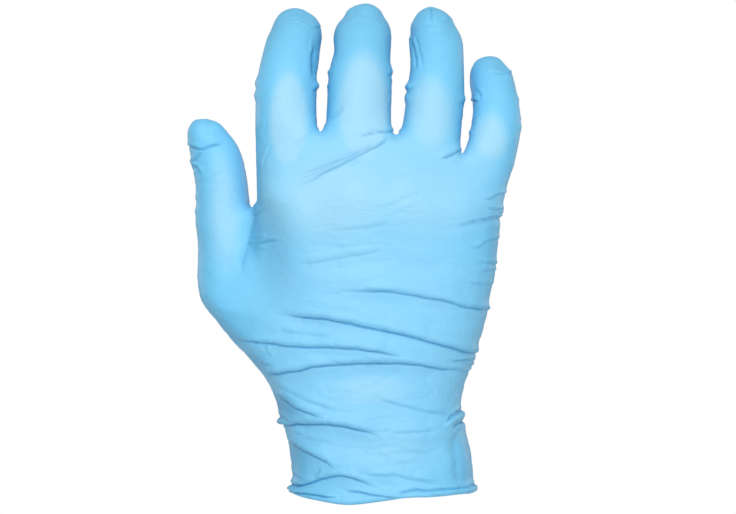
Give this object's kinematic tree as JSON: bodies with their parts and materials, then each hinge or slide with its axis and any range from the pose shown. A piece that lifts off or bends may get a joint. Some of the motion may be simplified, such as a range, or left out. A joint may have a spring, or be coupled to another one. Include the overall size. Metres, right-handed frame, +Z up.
{
  "type": "nitrile exam glove",
  "caption": "Disposable nitrile exam glove in its worn right-hand form, fingers a little bent, with a short wrinkled cuff that ends in a rolled bead.",
  "frame": {"origin": "middle of the cuff's open mouth, at the rolled bead", "axes": "+Z up the hand from the cuff to the fingertips, -Y out of the back of the hand, +Y out of the palm, -X on the thumb's side"},
  "size_m": [0.1204, 0.0805, 0.181],
  "materials": {
    "nitrile_film": "smooth satin film, light sky blue, a little darker where it stands edge-on or in a fold"
  },
  "bodies": {
    "root": {"glove_film": "nitrile_film"}
  },
  "joints": []
}
